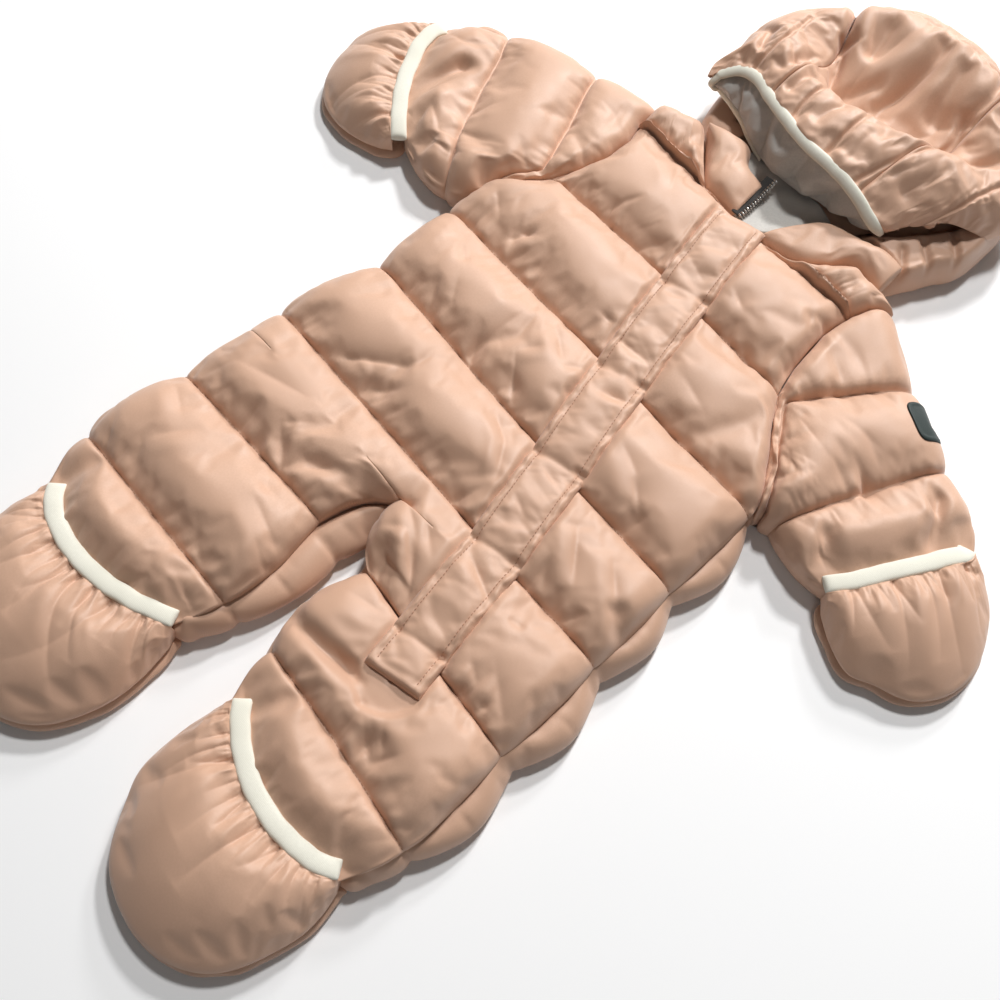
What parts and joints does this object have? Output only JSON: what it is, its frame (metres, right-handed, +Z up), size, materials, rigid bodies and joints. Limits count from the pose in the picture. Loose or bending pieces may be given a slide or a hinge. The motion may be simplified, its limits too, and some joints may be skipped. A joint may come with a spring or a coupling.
{
  "type": "baby snowsuit",
  "caption": "Quilted hooded baby snowsuit laid flat on its back, arms out, with a slanting zip cover, fleece-lined hood and fold-over hand and foot covers.",
  "frame": {"origin": "on the surface under the middle of the back, on the body's middle line", "axes": "+Y towards the hood, +Z up off the surface, +X to the wearer's left"},
  "size_m": [0.6737, 0.8497, 0.0732],
  "materials": {
    "shell": "smooth woven polyamide with a soft sheen",
    "binding": "matt ribbed elastic",
    "fleece": "soft brushed fleece",
    "zip": "woven tape",
    "patch": "matt woven patch"
  },
  "bodies": {
    "root": {"front_right": "shell", "front_left": "shell", "back": "shell", "sleeve_right": "shell", "sleeve_left": "shell", "placket": "shell", "foot_right_elastic": "binding", "foot_right_under": "shell", "foot_right_cover": "shell", "foot_left_elastic": "binding", "foot_left_under": "shell", "foot_left_cover": "shell", "mitten_right_elastic": "binding", "mitten_right_under": "shell", "mitten_right_cover": "shell", "mitten_left_elastic": "binding", "mitten_left_under": "shell", "mitten_left_cover": "shell", "sleeve_patch": "patch", "hood_under": "shell", "hood_right": "shell", "hood_centre": "shell", "hood_left": "shell", "hood_elastic": "binding", "hood_facing": "fleece", "neck_lining": "fleece", "collar_right": "shell", "collar_left": "shell", "zip_tape": "zip"}
  },
  "joints": []
}
